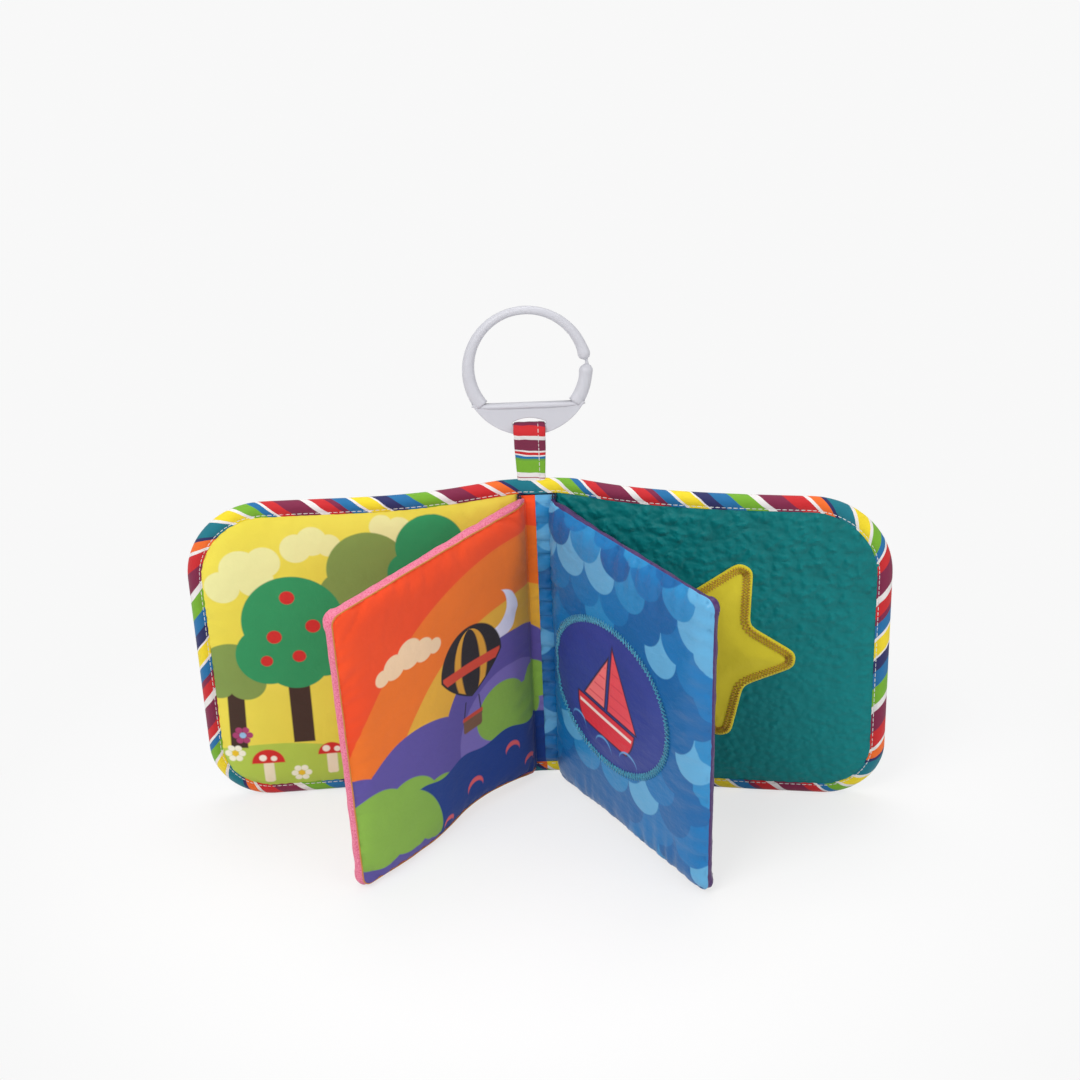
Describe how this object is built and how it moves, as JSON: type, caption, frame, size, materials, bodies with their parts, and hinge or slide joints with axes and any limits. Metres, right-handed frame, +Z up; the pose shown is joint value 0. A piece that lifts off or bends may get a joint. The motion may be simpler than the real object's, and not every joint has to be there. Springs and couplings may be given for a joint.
{
  "type": "soft activity book",
  "caption": "Soft cloth activity book standing open, with padded covers, padded leaves, striped binding and a plastic carrying ring on a strap.",
  "frame": {"origin": "centre of the lower face of the spine, where the book stands on the ground", "axes": "+X to the reader's right, toward the back cover; +Y away from the reader; +Z up along the spine"},
  "size_m": [0.3189, 0.1189, 0.2369],
  "materials": {
    "outside_cloth": "printed cotton weave",
    "wadding": "polyester fill",
    "yellow_cloth": "brushed print cloth",
    "teal_cloth": "embossed satin",
    "tape_white": "satin tape",
    "tape_red": "printed satin tape",
    "tape_plum": "printed satin tape",
    "tape_navy": "printed satin tape",
    "tape_blue": "printed satin tape",
    "tape_green": "printed satin tape",
    "print_light_green": "print",
    "print_green": "print",
    "print_olive": "print",
    "print_brown": "print",
    "print_pale_yellow": "print",
    "print_red": "print",
    "star_cloth": "short plush",
    "gold_thread": "zigzag embroidery",
    "orange_red_cloth": "brushed print cloth",
    "blue_satin": "satin",
    "dark_thread": "sewing thread",
    "pink_plush": "short plush",
    "print_orange": "print",
    "print_amber": "print",
    "print_purple": "print",
    "print_leaf_green": "print",
    "print_navy": "print",
    "print_peach": "print",
    "print_charcoal": "print",
    "purple_satin": "satin",
    "print_sky": "print",
    "royal_satin": "satin",
    "turquoise_thread": "zigzag embroidery",
    "print_coral": "print",
    "print_rose": "print",
    "ring_plastic": "moulded, satin gloss"
  },
  "bodies": {
    "spine": {"spine_outer_cloth": "outside_cloth", "spine_wadding": "wadding", "spine_inner_cloth": "yellow_cloth", "spine_tape": "tape_white", "spine_stripes_red": "tape_red", "spine_stripes_green": "tape_green", "gutter_left_cloth": "orange_red_cloth", "gutter_right_cloth": "blue_satin", "left_seam": "dark_thread", "right_seam": "dark_thread", "strap": "tape_white", "strap_stripes_red": "tape_red", "strap_stripes_plum": "tape_plum", "strap_stripes_green": "tape_green"},
    "front_cover": {"front_outer_cloth": "outside_cloth", "front_wadding": "wadding", "front_inner_cloth": "yellow_cloth", "front_print_ground": "print_light_green", "front_print_crowns": "print_green", "front_print_olives": "print_olive", "front_print_trunks": "print_brown", "front_print_clouds": "print_pale_yellow", "front_print_toadstools": "print_red", "front_tape": "tape_white", "front_stripes_red": "tape_red", "front_stripes_plum": "tape_plum", "front_stripes_navy": "tape_navy", "front_stripes_blue": "tape_blue", "front_stripes_green": "tape_green"},
    "back_cover": {"back_outer_cloth": "outside_cloth", "back_wadding": "wadding", "back_inner_cloth": "teal_cloth", "star_patch": "star_cloth", "star_edging": "gold_thread", "back_tape": "tape_white", "back_stripes_red": "tape_red", "back_stripes_plum": "tape_plum", "back_stripes_navy": "tape_navy", "back_stripes_blue": "tape_blue", "back_stripes_green": "tape_green"},
    "left_leaf": {"left_leaf_back": "pink_plush", "left_leaf_wadding": "wadding", "left_leaf_face": "orange_red_cloth", "left_print_orange": "print_orange", "left_print_amber": "print_amber", "left_print_hills": "print_purple", "left_print_bushes": "print_leaf_green", "left_print_water": "print_navy", "left_print_cloud": "print_peach", "left_print_balloon": "print_charcoal"},
    "right_leaf": {"right_leaf_back": "purple_satin", "right_leaf_wadding": "wadding", "right_leaf_face": "blue_satin", "right_print_scales": "print_sky", "oval_patch": "royal_satin", "oval_edging": "turquoise_thread", "boat_hull": "print_coral", "boat_sails": "print_rose"},
    "ring": {"link_ring": "ring_plastic"}
  },
  "joints": [
    {"name": "front_cover_fold", "type": "hinge", "parent": "spine", "child": "front_cover", "pos_m": [-0.009, -0.0025, 0], "axis": [0, 0, 1], "range_deg": [-86, 84]},
    {"name": "back_cover_fold", "type": "hinge", "parent": "spine", "child": "back_cover", "pos_m": [0.009, -0.0025, 0], "axis": [0, 0, -1], "range_deg": [-98, 76]},
    {"name": "left_leaf_fold", "type": "hinge", "parent": "spine", "child": "left_leaf", "pos_m": [-0.008, -0.0031, 0], "axis": [0, 0, 1], "range_deg": [-45, 44]},
    {"name": "right_leaf_fold", "type": "hinge", "parent": "spine", "child": "right_leaf", "pos_m": [0.008, -0.0031, 0], "axis": [0, 0, -1], "range_deg": [-44, 34]},
    {"name": "ring_swing", "type": "hinge", "parent": "spine", "child": "ring", "pos_m": [-0.002, 0, 0.1823], "axis": [1, 0, 0], "range_deg": [-100, 100]}
  ],
  "couplings": [
    {"joint": "left_leaf_fold", "follows": "front_cover_fold", "ratio": 0.518},
    {"joint": "right_leaf_fold", "follows": "back_cover_fold", "ratio": 0.441}
  ]
}
